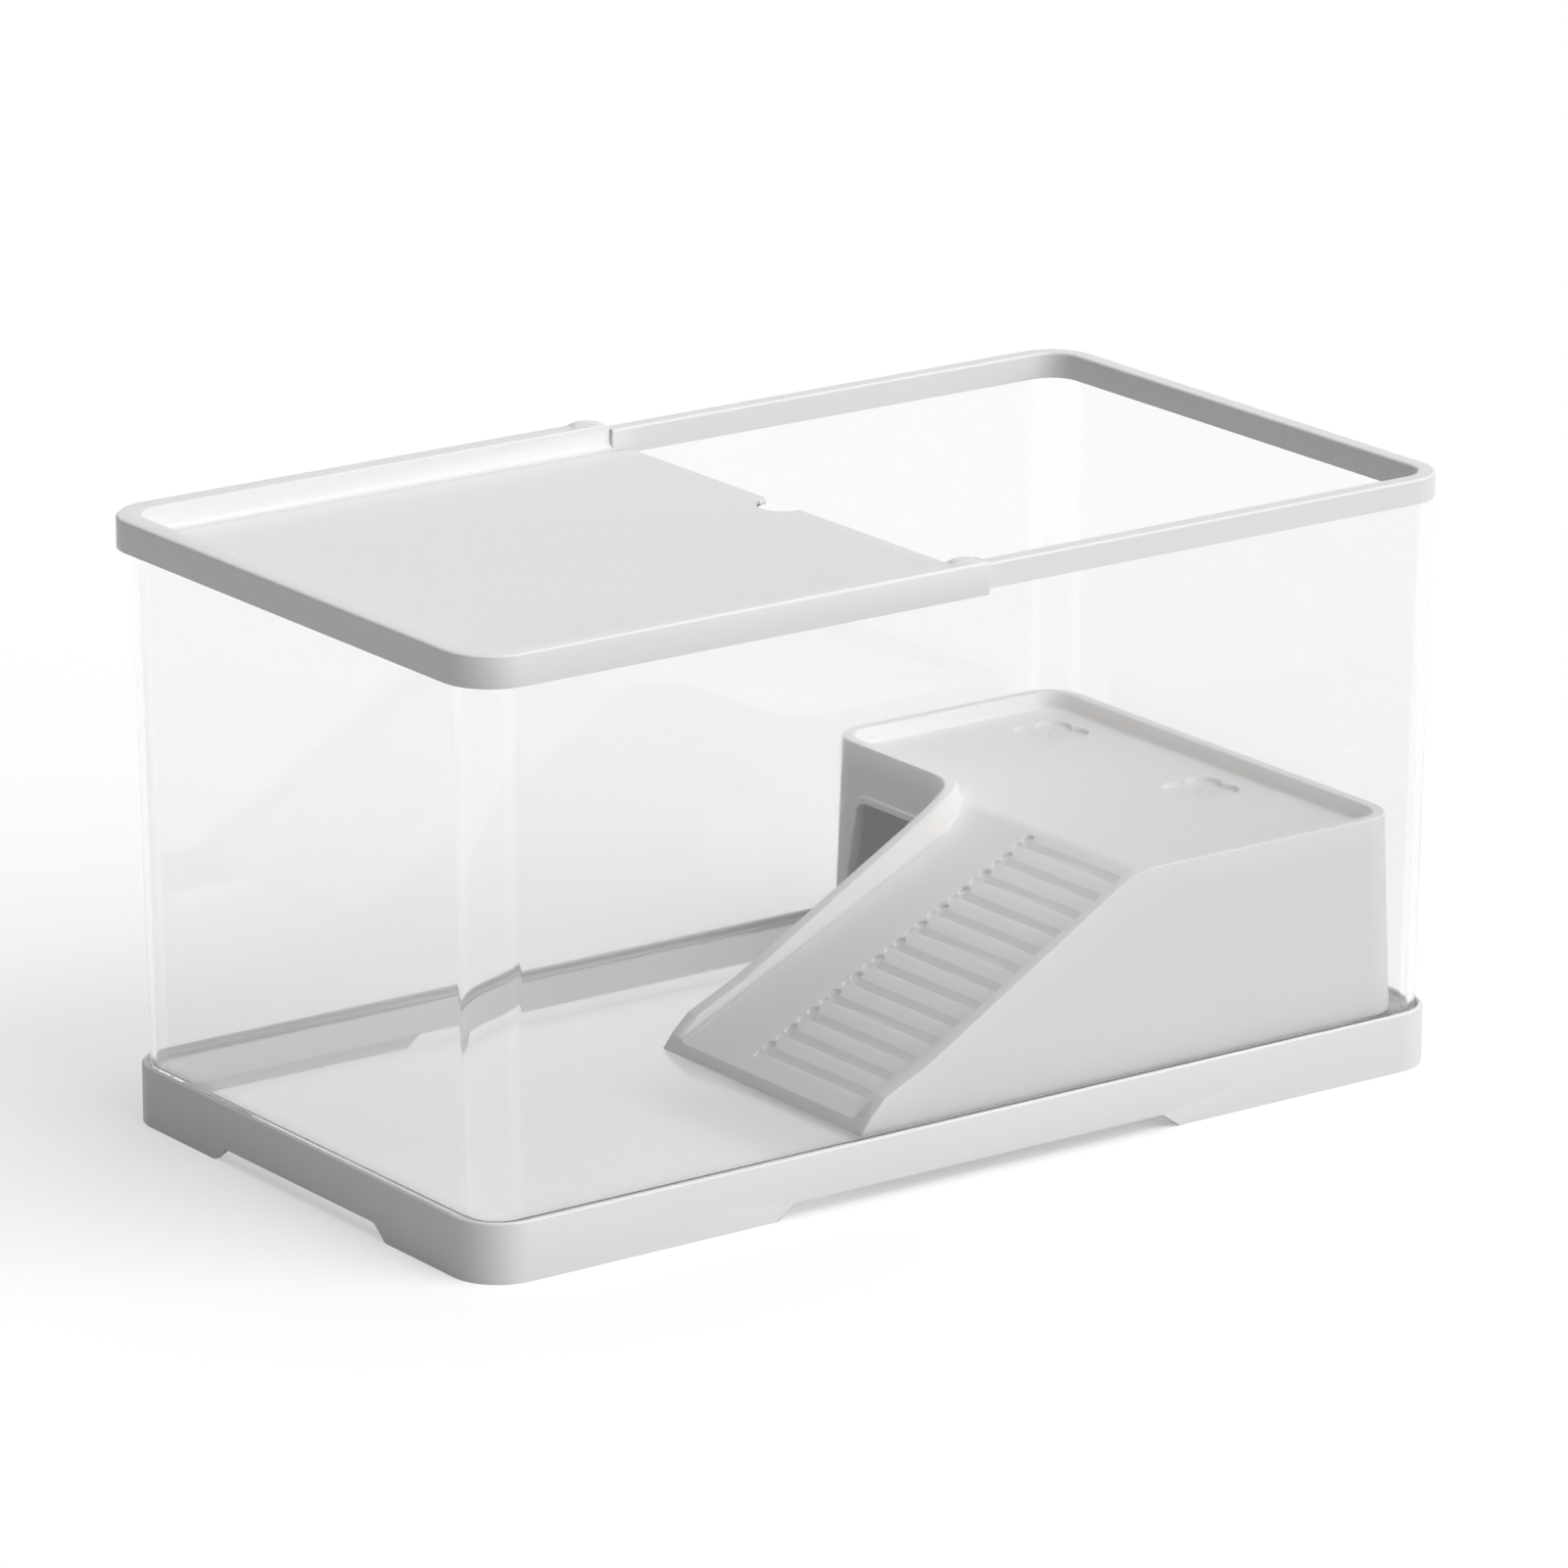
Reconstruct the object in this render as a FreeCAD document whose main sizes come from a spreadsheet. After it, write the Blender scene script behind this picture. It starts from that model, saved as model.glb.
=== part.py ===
import FreeCAD, Part
import Sketcher
import math
import os
import re

# Turtle tank: a clear tank that stands in an open base frame, a rim on its right half, a lid on its
# left half, and a basking platform with a ramp that stands on the tank's floor.
# X runs along the tank, Y from front to back, Z up. The feet stand at Z = 0.

doc = FreeCAD.newDocument("turtle_tank")

SIZES = [
    # base frame
    ("base_long", 400.0),
    ("base_deep", 220.2),
    ("base_high", 21.0),
    ("base_corner", 18.0),
    ("base_wall", 2.2),
    ("base_edge_round", 0.8),
    ("ledge_level", 17.0),
    ("ledge_thick", 2.0),
    ("ledge_reach", 4.6),
    ("inner_skirt_wall", 2.0),
    ("inner_skirt_level", 6.0),
    ("seat_gap", 1.0),
    ("recess_high", 5.3),
    ("recess_slope", 7.0),
    ("long_recess", 168.0),
    ("short_recess", 104.0),
    ("recess_round", 2.5),
    # clear tank
    ("tank_wall", 2.5),
    ("tank_floor", 2.4),
    ("tank_flare", 0.01648),
    ("tank_corner", 13.5),
    ("tank_bottom_round", 2.2),
    ("tank_inner_round", 1.5),
    ("shoulder_level", 202.5),
    ("tongue_inset", 1.5),
    ("tongue_wall", 1.4),
    ("tongue_top", 209.4),
    # rim on the right half
    ("rim_proud", 0.3),
    ("rim_wide", 6.2),
    ("rim_top", 211.3),
    ("rim_outer_bottom", 202.6),
    ("rim_inner_bottom", 202.1),
    ("rim_start", 0.3),
    ("rim_edge_round", 0.9),
    ("rim_end_round", 1.0),
    ("fit_gap", 0.15),
    # half lid
    ("lid_proud", 3.6),
    ("lid_corner", 18.5),
    ("lid_top", 212.9),
    ("lid_bottom", 201.8),
    ("lid_skirt_wall", 1.6),
    ("lid_roof", 1.6),
    ("lid_inner_wall", 1.3),
    ("lid_panel_top", 203.7),
    ("lid_seat_wide", 1.8),
    ("lid_end_bottom", 202.8),
    ("lid_edge_round", 0.9),
    ("lid_inner_round", 0.5),
    ("lid_cove_wide", 2.6),
    ("rail_end_round", 1.2),
    ("tab_reach", 7.0),
    ("tab_gap", 0.4),
    ("tab_corner", 5.0),
    ("notch_centre", 12.4),
    ("notch_radius", 9.5),
    ("notch_mouth_round", 1.4),
    ("hump_long", 13.0),
    ("hump_high", 1.4),
    ("hump_wide", 6.4),
    ("hump_end_gap", 1.5),
    # basking platform
    ("deck_left", 85.3),
    ("deck_right", 187.6),
    ("deck_front", 98.8),
    ("deck_back", 95.9),
    ("lip_high", 70.6),
    ("lip_wide", 4.8),
    ("deck_drop", 5.5),
    ("deck_corner", 14.0),
    ("platform_flare", 0.0274),
    ("shell_wall", 3.0),
    ("bend_radius", 22.0),
    ("rail_face", 12.0),
    ("ramp_foot", 42.5),
    ("ramp_slope", 0.487),
    ("curb_lead", 12.0),
    ("curb_slope", 0.578),
    ("curb_foot_slope", 0.46),
    ("curb_break", 14.0),
    ("nose_back", 9.0),
    ("nose_step", 2.5),
    ("nose_high", 5.0),
    ("nose_round", 5.0),
    ("curb_round", 30.0),
    ("crest_round", 10.0),
    ("lip_edge_round", 0.8),
    ("deck_cove", 1.5),
    # cave opening in the platform's left wall
    ("cave_high", 50.6),
    ("cave_front", 38.0),
    ("cave_back_top", 75.5),
    ("cave_back_low", 84.5),
    ("cave_corner", 5.0),
    ("bead_wide", 2.3),
    ("bead_proud", 1.0),
    ("bead_lift", 0.2),
    # grip grooves across the ramp and dishes in the deck
    ("groove_first", 78.5),
    ("groove_pitch", 9.1),
    ("groove_wide", 4.0),
    ("groove_tilt", 18.0),
    ("groove_head", 28.0),
    ("groove_end", 88.0),
    ("knob_radius", 2.4),
    ("knob_deep", 1.2),
    ("knob_spread", 2.1),
    ("dish_radius", 6.5),
    ("dish_deep", 1.6),
    ("dish_spread", 7.0),
    ("dish_column", 161.5),
    ("back_dish", 65.0),
    ("front_dish", 21.0),
]
GROOVES = 13
LOBES = 4

sheet = doc.addObject("Spreadsheet::Sheet", "Sizes")
for row, (alias, value) in enumerate(SIZES, start=1):
    sheet.set("A%d" % row, alias)
    sheet.set("B%d" % row, str(value))
    sheet.setAlias("B%d" % row, alias)
doc.recompute()

ALIASES = set(alias for alias, value in SIZES)

# sizes that follow from others, written once and used by name in the expressions below
DERIVED = {
    "seat_half_x": "(base_long/2 - base_wall)",
    "seat_half_y": "(base_deep/2 - base_wall)",
    "foot_half_x": "(base_long/2 - base_wall - seat_gap - tank_flare*(base_high - ledge_level))",
    "foot_half_y": "(base_deep/2 - base_wall - seat_gap - tank_flare*(base_high - ledge_level))",
    "tank_grow": "(tank_flare*(shoulder_level - ledge_level))",
    "rim_half_x": "(foot_half_x + tank_grow + rim_proud)",
    "rim_half_y": "(foot_half_y + tank_grow + rim_proud)",
    "rim_corner": "(tank_corner + tank_grow + rim_proud)",
    "tongue_out": "(rim_proud + tongue_inset)",
    "tongue_in": "(rim_proud + tongue_inset + tongue_wall)",
    "floor_level": "(ledge_level + tank_floor)",
    "lip_level": "(floor_level + lip_high)",
    "deck_level": "(lip_level - deck_drop)",
    "curb_top_x": "(deck_left - curb_lead)",
    "curb_break_z": "(lip_level - curb_slope*(curb_top_x + curb_break))",
    "nose_top_z": "(curb_break_z - curb_foot_slope*(ramp_foot - nose_back - curb_break))",
}


def bound(text):
    """Writes a size expression out in the sheet's aliases."""
    def swap(match):
        word = match.group(0)
        if word in DERIVED:
            return bound(DERIVED[word])
        return "Sizes." + word if word in ALIASES else word
    return re.sub(r"[a-z][a-z_]+", swap, text)


def number(text):
    value = sheet.evalExpression(bound(text))
    return float(getattr(value, "Value", value))


def tie(obj, prop, text):
    obj.setExpression(prop, bound(text))


def new_body(name):
    body = doc.addObject("PartDesign::Body", name)
    body.Label = name
    return body


def new_sketch(body, name, role="XY_Plane", lift=None):
    sketch = body.newObject("Sketcher::SketchObject", name)
    plane = [item for item in body.Origin.OriginFeatures if item.Role == role][0]
    sketch.AttachmentSupport = [(plane, "")]
    sketch.MapMode = "FlatFace"
    if lift is not None:
        tie(sketch, "AttachmentOffset.Base.z", lift)
    return sketch


def limit(sketch, constraint, name, text):
    index = sketch.addConstraint(constraint)
    sketch.renameConstraint(index, name)
    tie(sketch, "Constraints." + name, text)


def place(sketch, geo, end, along, text, name):
    """Sets one coordinate of a sketch point; the sign of the text's value picks the direction."""
    kind = "DistanceX" if along == "x" else "DistanceY"
    value = number(text)
    if abs(value) < 1e-6:
        sketch.addConstraint(Sketcher.Constraint("PointOnObject", geo, end, -2 if along == "x" else -1))
    elif value > 0:
        limit(sketch, Sketcher.Constraint(kind, -1, 1, geo, end, value), name, text)
    else:
        limit(sketch, Sketcher.Constraint(kind, geo, end, -1, 1, -value), name, "0 - (%s)" % text)


def polygon(sketch, corners, tag="p"):
    """Closed outline of straight lines through corners given as two size expressions each."""
    points = [FreeCAD.Vector(number(x), number(y), 0) for x, y in corners]
    first = sketch.GeometryCount
    total = len(points)
    for i in range(total):
        sketch.addGeometry(Part.LineSegment(points[i], points[(i + 1) % total]), False)
    for i in range(total):
        after = first + (i + 1) % total
        sketch.addConstraint(Sketcher.Constraint("Coincident", first + i, 2, after, 1))
    for i, (x, y) in enumerate(corners):
        place(sketch, first + i, 1, "x", x, "%s%dx" % (tag, i))
        place(sketch, first + i, 1, "y", y, "%s%dy" % (tag, i))


def rounded(sketch, half_x, half_y, corner, tag="r"):
    """Rectangle with round corners about the middle."""
    a, b, r = number(half_x), number(half_y), number(corner)
    vec = FreeCAD.Vector
    first = sketch.GeometryCount
    ends = [(-a + r, -b, a - r, -b), (a, -b + r, a, b - r), (a - r, b, -a + r, b), (-a, b - r, -a, -b + r)]
    for x0, y0, x1, y1 in ends:
        sketch.addGeometry(Part.LineSegment(vec(x0, y0, 0), vec(x1, y1, 0)), False)
    middles = [(a - r, -b + r, -90), (a - r, b - r, 0), (-a + r, b - r, 90), (-a + r, -b + r, 180)]
    for x, y, turn in middles:
        circle = Part.Circle(vec(x, y, 0), vec(0, 0, 1), r)
        arc = Part.ArcOfCircle(circle, math.radians(turn), math.radians(turn + 90))
        sketch.addGeometry(arc, False)
    for i in range(4):
        line, arc, after = first + i, first + 4 + i, first + (i + 1) % 4
        sketch.addConstraint(Sketcher.Constraint("Tangent", line, 2, arc, 1))
        sketch.addConstraint(Sketcher.Constraint("Tangent", arc, 2, after, 1))
        sketch.addConstraint(Sketcher.Constraint("Vertical" if i % 2 else "Horizontal", line))
        if i:
            sketch.addConstraint(Sketcher.Constraint("Equal", first + 4, arc))
    limit(sketch, Sketcher.Constraint("Radius", first + 4, r), tag + "_corner", corner)
    place(sketch, first, 1, "y", "0 - (%s)" % half_y, tag + "_front")
    place(sketch, first + 1, 1, "x", half_x, tag + "_right")
    place(sketch, first + 2, 1, "y", half_y, tag + "_back")
    place(sketch, first + 3, 1, "x", "0 - (%s)" % half_x, tag + "_left")


def ring(sketch, half_x, half_y, corner, outer, inner):
    """Band between two outlines set in from one rounded rectangle."""
    for tag, inset in (("o", outer), ("i", inner)):
        less = " - (%s)" % inset
        rounded(sketch, half_x + less, half_y + less, corner + less, tag)


def pad(body, name, sketch, length, down=False, flare=None):
    feature = body.newObject("PartDesign::Pad", name)
    feature.Profile = sketch
    tie(feature, "Length", length)
    feature.Reversed = down
    if flare is not None:
        tie(feature, "TaperAngle", "atan(%s)" % flare)
    doc.recompute()
    return feature


def pocket(body, name, sketch, length, up=False, flare=None, both=False):
    feature = body.newObject("PartDesign::Pocket", name)
    feature.Profile = sketch
    tie(feature, "Length", length)
    feature.Reversed = up
    if both:
        feature.Midplane = True
    if flare is not None:
        tie(feature, "TaperAngle", "atan(%s)" % flare)
    doc.recompute()
    return feature


def soften(body, name, edges, radius):
    """Rounds the edges of the body's tip that the test picks."""
    base = body.Tip
    names = []
    for i, edge in enumerate(base.Shape.Edges, start=1):
        if edges(edge):
            names.append("Edge%d" % i)
    feature = body.newObject("PartDesign::Fillet", name)
    feature.Base = (base, names)
    tie(feature, "Radius", radius)
    doc.recompute()
    return feature


def bevel(body, name, edges, size):
    """Cuts the corners off the edges of the body's tip that the test picks."""
    base = body.Tip
    names = []
    for i, edge in enumerate(base.Shape.Edges, start=1):
        if edges(edge):
            names.append("Edge%d" % i)
    feature = body.newObject("PartDesign::Chamfer", name)
    feature.Base = (base, names)
    tie(feature, "Size", size)
    doc.recompute()
    return feature


def lean(body, name, z, slope):
    """Leans every upright face of the body's tip outwards below the level face at a height."""
    base = body.Tip
    walls = []
    for i, face in enumerate(base.Shape.Faces, start=1):
        box = face.BoundBox
        if box.ZLength > 1:
            walls.append("Face%d" % i)
        elif abs(box.ZMax - number(z)) < 0.01:
            neutral = "Face%d" % i
    feature = body.newObject("PartDesign::Draft", name)
    feature.Base = (base, walls)
    feature.NeutralPlane = (base, [neutral])
    tie(feature, "Angle", "atan(%s)" % slope)
    doc.recompute()
    return feature


def level(edge, z, slack=0.02):
    return all(abs(v.Z - z) < slack for v in edge.Vertexes)


def reach(edge):
    box = edge.BoundBox
    return max(abs(box.XMin), abs(box.XMax)), max(abs(box.YMin), abs(box.YMax))


def upright(edge):
    return edge.BoundBox.ZLength > 3.0 * max(edge.BoundBox.XLength, edge.BoundBox.YLength)


# base frame: an open skirt with a ledge that carries the tank
base = new_body("base_frame")
outline = new_sketch(base, "base_outline")
rounded(outline, "base_long/2", "base_deep/2", "base_corner")
pad(base, "base_block", outline, "base_high")

seat = new_sketch(base, "base_seat", lift="base_high")
rounded(seat, "seat_half_x", "seat_half_y", "base_corner - base_wall")
pocket(base, "base_seat_cut", seat, "base_high - ledge_level")

middle = new_sketch(base, "base_middle", lift="base_high")
rounded(middle, "seat_half_x - ledge_reach", "seat_half_y - ledge_reach",
        "base_corner - base_wall - ledge_reach")
pocket(base, "base_middle_cut", middle, "base_high")

under = new_sketch(base, "base_channel")
ring(under, "seat_half_x", "seat_half_y", "base_corner - base_wall", "0", "ledge_reach - inner_skirt_wall")
pocket(base, "base_channel_cut", under, "ledge_level - ledge_thick", up=True)

low = new_sketch(base, "base_inner_skirt")
ring(low, "seat_half_x", "seat_half_y", "base_corner - base_wall", "0", "ledge_reach + 1")
pocket(base, "base_inner_skirt_cut", low, "inner_skirt_level", up=True)

for side, plane, long_side in (("long", "XZ_Plane", "long_recess"), ("short", "YZ_Plane", "short_recess")):
    foot = new_sketch(base, "base_%s_recess" % side, plane)
    low_end = "%s/2 + 2*recess_slope/recess_high" % long_side
    polygon(foot, [("0 - (%s)" % low_end, "0 - 2"), (low_end, "0 - 2"),
                   ("%s/2 - recess_slope" % long_side, "recess_high"),
                   ("recess_slope - %s/2" % long_side, "recess_high")])
    pocket(base, "base_%s_recess_cut" % side, foot, "base_long + base_deep", both=True)


def recess_edge(edge):
    """The edges across the skirt at both ends of each recess, top and bottom."""
    box = edge.BoundBox
    sides = sorted((box.XLength, box.YLength))
    across = sides[0] < 0.01 and sides[1] < number("base_wall + 0.1")
    high, low = level(edge, number("recess_high")), level(edge, 0)
    return across and box.ZLength < 0.01 and (high or low)


soften(base, "base_recess_round", recess_edge, "recess_round")

top = number("base_high")
bevel(base, "base_edge", lambda e: level(e, top), "base_edge_round")

# clear tank: one moulding with a thinner tongue round its mouth
tank = new_body("clear_tank")
plan = new_sketch(tank, "tank_outline", lift="ledge_level")
rounded(plan, "foot_half_x", "foot_half_y", "tank_corner")
pad(tank, "tank_block", plan, "shoulder_level - ledge_level", flare="tank_flare")

mouth = new_sketch(tank, "tank_tongue", lift="shoulder_level")
rounded(mouth, "rim_half_x - tongue_out", "rim_half_y - tongue_out", "rim_corner - tongue_out")
pad(tank, "tank_tongue_block", mouth, "tongue_top - shoulder_level")

hollow = new_sketch(tank, "tank_hollow", lift="floor_level")
rounded(hollow, "foot_half_x + tank_flare*tank_floor - tank_wall",
        "foot_half_y + tank_flare*tank_floor - tank_wall", "tank_corner - tank_wall")
pocket(tank, "tank_hollow_cut", hollow, "shoulder_level - floor_level", up=True, flare="tank_flare")

inside = new_sketch(tank, "tank_mouth", lift="tongue_top")
rounded(inside, "rim_half_x - tongue_in", "rim_half_y - tongue_in", "rim_corner - tongue_in")
pocket(tank, "tank_mouth_cut", inside, "tongue_top - shoulder_level + 1")

low_level = number("ledge_level")
bevel(tank, "tank_bottom_edge", lambda e: level(e, low_level), "tank_bottom_round")
floor_level = number("floor_level")
bevel(tank, "tank_floor_edge", lambda e: level(e, floor_level), "tank_inner_round")

# rim: a channel pressed over the tongue on the right half
rim = new_body("top_rim")
band = new_sketch(rim, "rim_band", lift="rim_inner_bottom")
ring(band, "rim_half_x", "rim_half_y", "rim_corner", "0", "rim_wide")
pad(rim, "rim_block", band, "rim_top - rim_inner_bottom")

step = new_sketch(rim, "rim_outer_step", lift="rim_inner_bottom")
ring(step, "rim_half_x", "rim_half_y", "rim_corner", "0 - 2", "tongue_out - fit_gap")
pocket(rim, "rim_outer_step_cut", step, "rim_outer_bottom - rim_inner_bottom", up=True)

slot = new_sketch(rim, "rim_slot", lift="rim_inner_bottom")
ring(slot, "rim_half_x", "rim_half_y", "rim_corner", "tongue_out - fit_gap", "tongue_in + fit_gap")
pocket(rim, "rim_slot_cut", slot, "tongue_top - rim_inner_bottom", up=True)

half = new_sketch(rim, "rim_left_half", lift="rim_top + 1")
polygon(half, [("0 - base_long", "0 - base_deep"), ("rim_start", "0 - base_deep"),
               ("rim_start", "base_deep"), ("0 - base_long", "base_deep")])
pocket(rim, "rim_left_half_cut", half, "rim_top - rim_inner_bottom + 3")

rim_top = number("rim_top")
rim_start = number("rim_start")


def rim_end(edge):
    """The upright inner corner of the rim at each of its ends."""
    inner = number("rim_half_y - rim_wide")
    return upright(edge) and all(abs(v.X - rim_start) < 0.01 and abs(abs(v.Y) - inner) < 0.01
                                 for v in edge.Vertexes)


soften(rim, "rim_end_round", rim_end, "rim_end_round")
bevel(rim, "rim_edge", lambda e: level(e, rim_top) and e.BoundBox.XMax > rim_start + 1, "rim_edge_round")

# half lid: a tray between rails that straddle the tongue on the left half
lid = new_body("half_lid")


def lid_corner_at(inset):
    """The skirt has its own corner radius; the outlines near the tongue follow the tongue."""
    on_skirt = inset in ("0", "lid_skirt_wall")
    return ("lid_corner - (%s)" if on_skirt else "rim_corner + lid_proud - (%s)") % inset


def left_half(sketch, inset, end, tag="h"):
    """Outline of the lid's half, set in from its outer face, open towards the end plane."""
    half_x = "rim_half_x + lid_proud - (%s)" % inset
    half_y = "rim_half_y + lid_proud - (%s)" % inset
    corner = lid_corner_at(inset)
    a, b, r, e = number(half_x), number(half_y), number(corner), number(end)
    vec = FreeCAD.Vector
    first = sketch.GeometryCount
    ends = [(e, b, -a + r, b), (-a, b - r, -a, -b + r), (-a + r, -b, e, -b), (e, -b, e, b)]
    for x0, y0, x1, y1 in ends:
        sketch.addGeometry(Part.LineSegment(vec(x0, y0, 0), vec(x1, y1, 0)), False)
    for x, y, turn in ((-a + r, b - r, 90), (-a + r, -b + r, 180)):
        circle = Part.Circle(vec(x, y, 0), vec(0, 0, 1), r)
        sketch.addGeometry(Part.ArcOfCircle(circle, math.radians(turn), math.radians(turn + 90)), False)
    for one, end_one, two, end_two in ((0, 2, 4, 1), (4, 2, 1, 1), (1, 2, 5, 1), (5, 2, 2, 1)):
        sketch.addConstraint(Sketcher.Constraint("Tangent", first + one, end_one, first + two, end_two))
    sketch.addConstraint(Sketcher.Constraint("Coincident", first + 2, 2, first + 3, 1))
    sketch.addConstraint(Sketcher.Constraint("Coincident", first + 3, 2, first, 1))
    for geo, kind in ((0, "Horizontal"), (1, "Vertical"), (2, "Horizontal"), (3, "Vertical")):
        sketch.addConstraint(Sketcher.Constraint(kind, first + geo))
    sketch.addConstraint(Sketcher.Constraint("Equal", first + 4, first + 5))
    limit(sketch, Sketcher.Constraint("Radius", first + 4, r), tag + "_corner", corner)
    place(sketch, first, 1, "y", half_y, tag + "_back")
    place(sketch, first + 1, 1, "x", "0 - (%s)" % half_x, tag + "_left")
    place(sketch, first + 2, 1, "y", "0 - (%s)" % half_y, tag + "_front")
    place(sketch, first + 3, 1, "x", end, tag + "_end")


shell = new_sketch(lid, "lid_outline", lift="lid_bottom")
left_half(shell, "0", "0")
pad(lid, "lid_block", shell, "lid_top - lid_bottom")

tray = new_sketch(lid, "lid_tray", lift="lid_top")
left_half(tray, "lid_proud + tongue_in + fit_gap + lid_inner_wall", "20")
pocket(lid, "lid_tray_cut", tray, "lid_top - lid_panel_top")

panel_top = number("lid_panel_top")
lid_top = number("lid_top")


def tray_edge(height):
    """The tray's edges at one height; the rails' ends, at x = 0, are left out."""
    def test(edge):
        x, y = reach(edge)
        box = edge.BoundBox
        inside = x < number("rim_half_x - 1") and y < number("rim_half_y - 1")
        return level(edge, height) and inside and box.XMin < -1
    return test


bevel(lid, "lid_cove", tray_edge(panel_top), "lid_cove_wide")
bevel(lid, "lid_inner_edge", tray_edge(lid_top), "lid_inner_round")

tab = new_sketch(lid, "lid_tab", lift="lid_bottom")
polygon(tab, [("0 - 5", "rim_wide + tab_gap - rim_half_y"), ("tab_reach", "rim_wide + tab_gap - rim_half_y"),
              ("tab_reach", "rim_half_y - rim_wide - tab_gap"), ("0 - 5", "rim_half_y - rim_wide - tab_gap")])
pad(lid, "lid_tab_plate", tab, "lid_panel_top - lid_bottom")


def left_band(sketch, outer, inner, end):
    """U-shaped band between two outlines of the lid's half, open at the end plane."""
    vec = FreeCAD.Vector
    first = sketch.GeometryCount
    e = number(end)
    sizes = []
    for inset in (outer, inner):
        less = " + lid_proud - (%s)" % inset
        sizes.append(("rim_half_x" + less, "rim_half_y" + less, lid_corner_at(inset)))
    for half_x, half_y, corner in sizes:
        a, b, r = number(half_x), number(half_y), number(corner)
        for x0, y0, x1, y1 in ((e, b, -a + r, b), (-a, b - r, -a, -b + r), (-a + r, -b, e, -b)):
            sketch.addGeometry(Part.LineSegment(vec(x0, y0, 0), vec(x1, y1, 0)), False)
        for x, y, turn in ((-a + r, b - r, 90), (-a + r, -b + r, 180)):
            circle = Part.Circle(vec(x, y, 0), vec(0, 0, 1), r)
            arc = Part.ArcOfCircle(circle, math.radians(turn), math.radians(turn + 90))
            sketch.addGeometry(arc, False)
    b, c = number(sizes[0][1]), number(sizes[1][1])
    sketch.addGeometry(Part.LineSegment(vec(e, -b, 0), vec(e, -c, 0)), False)
    sketch.addGeometry(Part.LineSegment(vec(e, c, 0), vec(e, b, 0)), False)
    for side, (half_x, half_y, corner) in enumerate(sizes):
        g = first + 5 * side
        for one, end_one, two, end_two in ((0, 2, 3, 1), (3, 2, 1, 1), (1, 2, 4, 1), (4, 2, 2, 1)):
            sketch.addConstraint(Sketcher.Constraint("Tangent", g + one, end_one, g + two, end_two))
        for geo, kind in ((0, "Horizontal"), (1, "Vertical"), (2, "Horizontal")):
            sketch.addConstraint(Sketcher.Constraint(kind, g + geo))
        sketch.addConstraint(Sketcher.Constraint("Equal", g + 3, g + 4))
        tag = "oi"[side]
        limit(sketch, Sketcher.Constraint("Radius", g + 3, number(corner)), tag + "_corner", corner)
        place(sketch, g, 1, "y", half_y, tag + "_back")
        place(sketch, g + 1, 1, "x", "0 - (%s)" % half_x, tag + "_left")
        place(sketch, g + 2, 1, "y", "0 - (%s)" % half_y, tag + "_front")
    front, back = first + 10, first + 11
    for one, end_one, two, end_two in ((first + 2, 2, front, 1), (front, 2, first + 7, 2),
                                       (first + 5, 1, back, 1), (back, 2, first, 1)):
        sketch.addConstraint(Sketcher.Constraint("Coincident", one, end_one, two, end_two))
    sketch.addConstraint(Sketcher.Constraint("Vertical", front))
    sketch.addConstraint(Sketcher.Constraint("Vertical", back))
    place(sketch, front, 1, "x", end, "front_end")
    place(sketch, back, 1, "x", end, "back_end")


# the slot for the tongue, the wide channel outside it and the low cut at the rails' ends
inner_face = "lid_proud + tongue_in + fit_gap"
for tag, outer, inner, roof, end in (
        ("tongue", "lid_proud + tongue_out - fit_gap", inner_face, "tongue_top", "20"),
        ("channel", "lid_skirt_wall", inner_face + " - lid_seat_wide", "lid_top - lid_roof",
         "0 - lid_skirt_wall"),
        ("low", "lid_skirt_wall", inner_face, "lid_end_bottom", "20")):
    cut = new_sketch(lid, "lid_%s_slot" % tag, lift="lid_bottom")
    left_band(cut, outer, inner, end)
    pocket(lid, "lid_%s_cut" % tag, cut, roof + " - lid_bottom", up=True)

bite = new_sketch(lid, "lid_notch", lift="lid_top")
bite.addGeometry(Part.Circle(FreeCAD.Vector(number("tab_reach"), number("notch_centre"), 0),
                             FreeCAD.Vector(0, 0, 1), number("notch_radius")), False)
place(bite, 0, 3, "x", "tab_reach", "notch_x")
place(bite, 0, 3, "y", "notch_centre", "notch_y")
limit(bite, Sketcher.Constraint("Radius", 0, number("notch_radius")), "notch_r", "notch_radius")
pocket(lid, "lid_notch_cut", bite, "lid_top - lid_bottom + 1")

tab_x = number("tab_reach")
soften(lid, "lid_tab_corner", lambda e: upright(e) and abs(e.Vertexes[0].X - tab_x) < 0.01
       and abs(e.Vertexes[0].Y) > 60, "tab_corner")
soften(lid, "lid_notch_mouth", lambda e: upright(e) and abs(e.Vertexes[0].X - tab_x) < 0.01
       and abs(e.Vertexes[0].Y) < 60, "notch_mouth_round")

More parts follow.
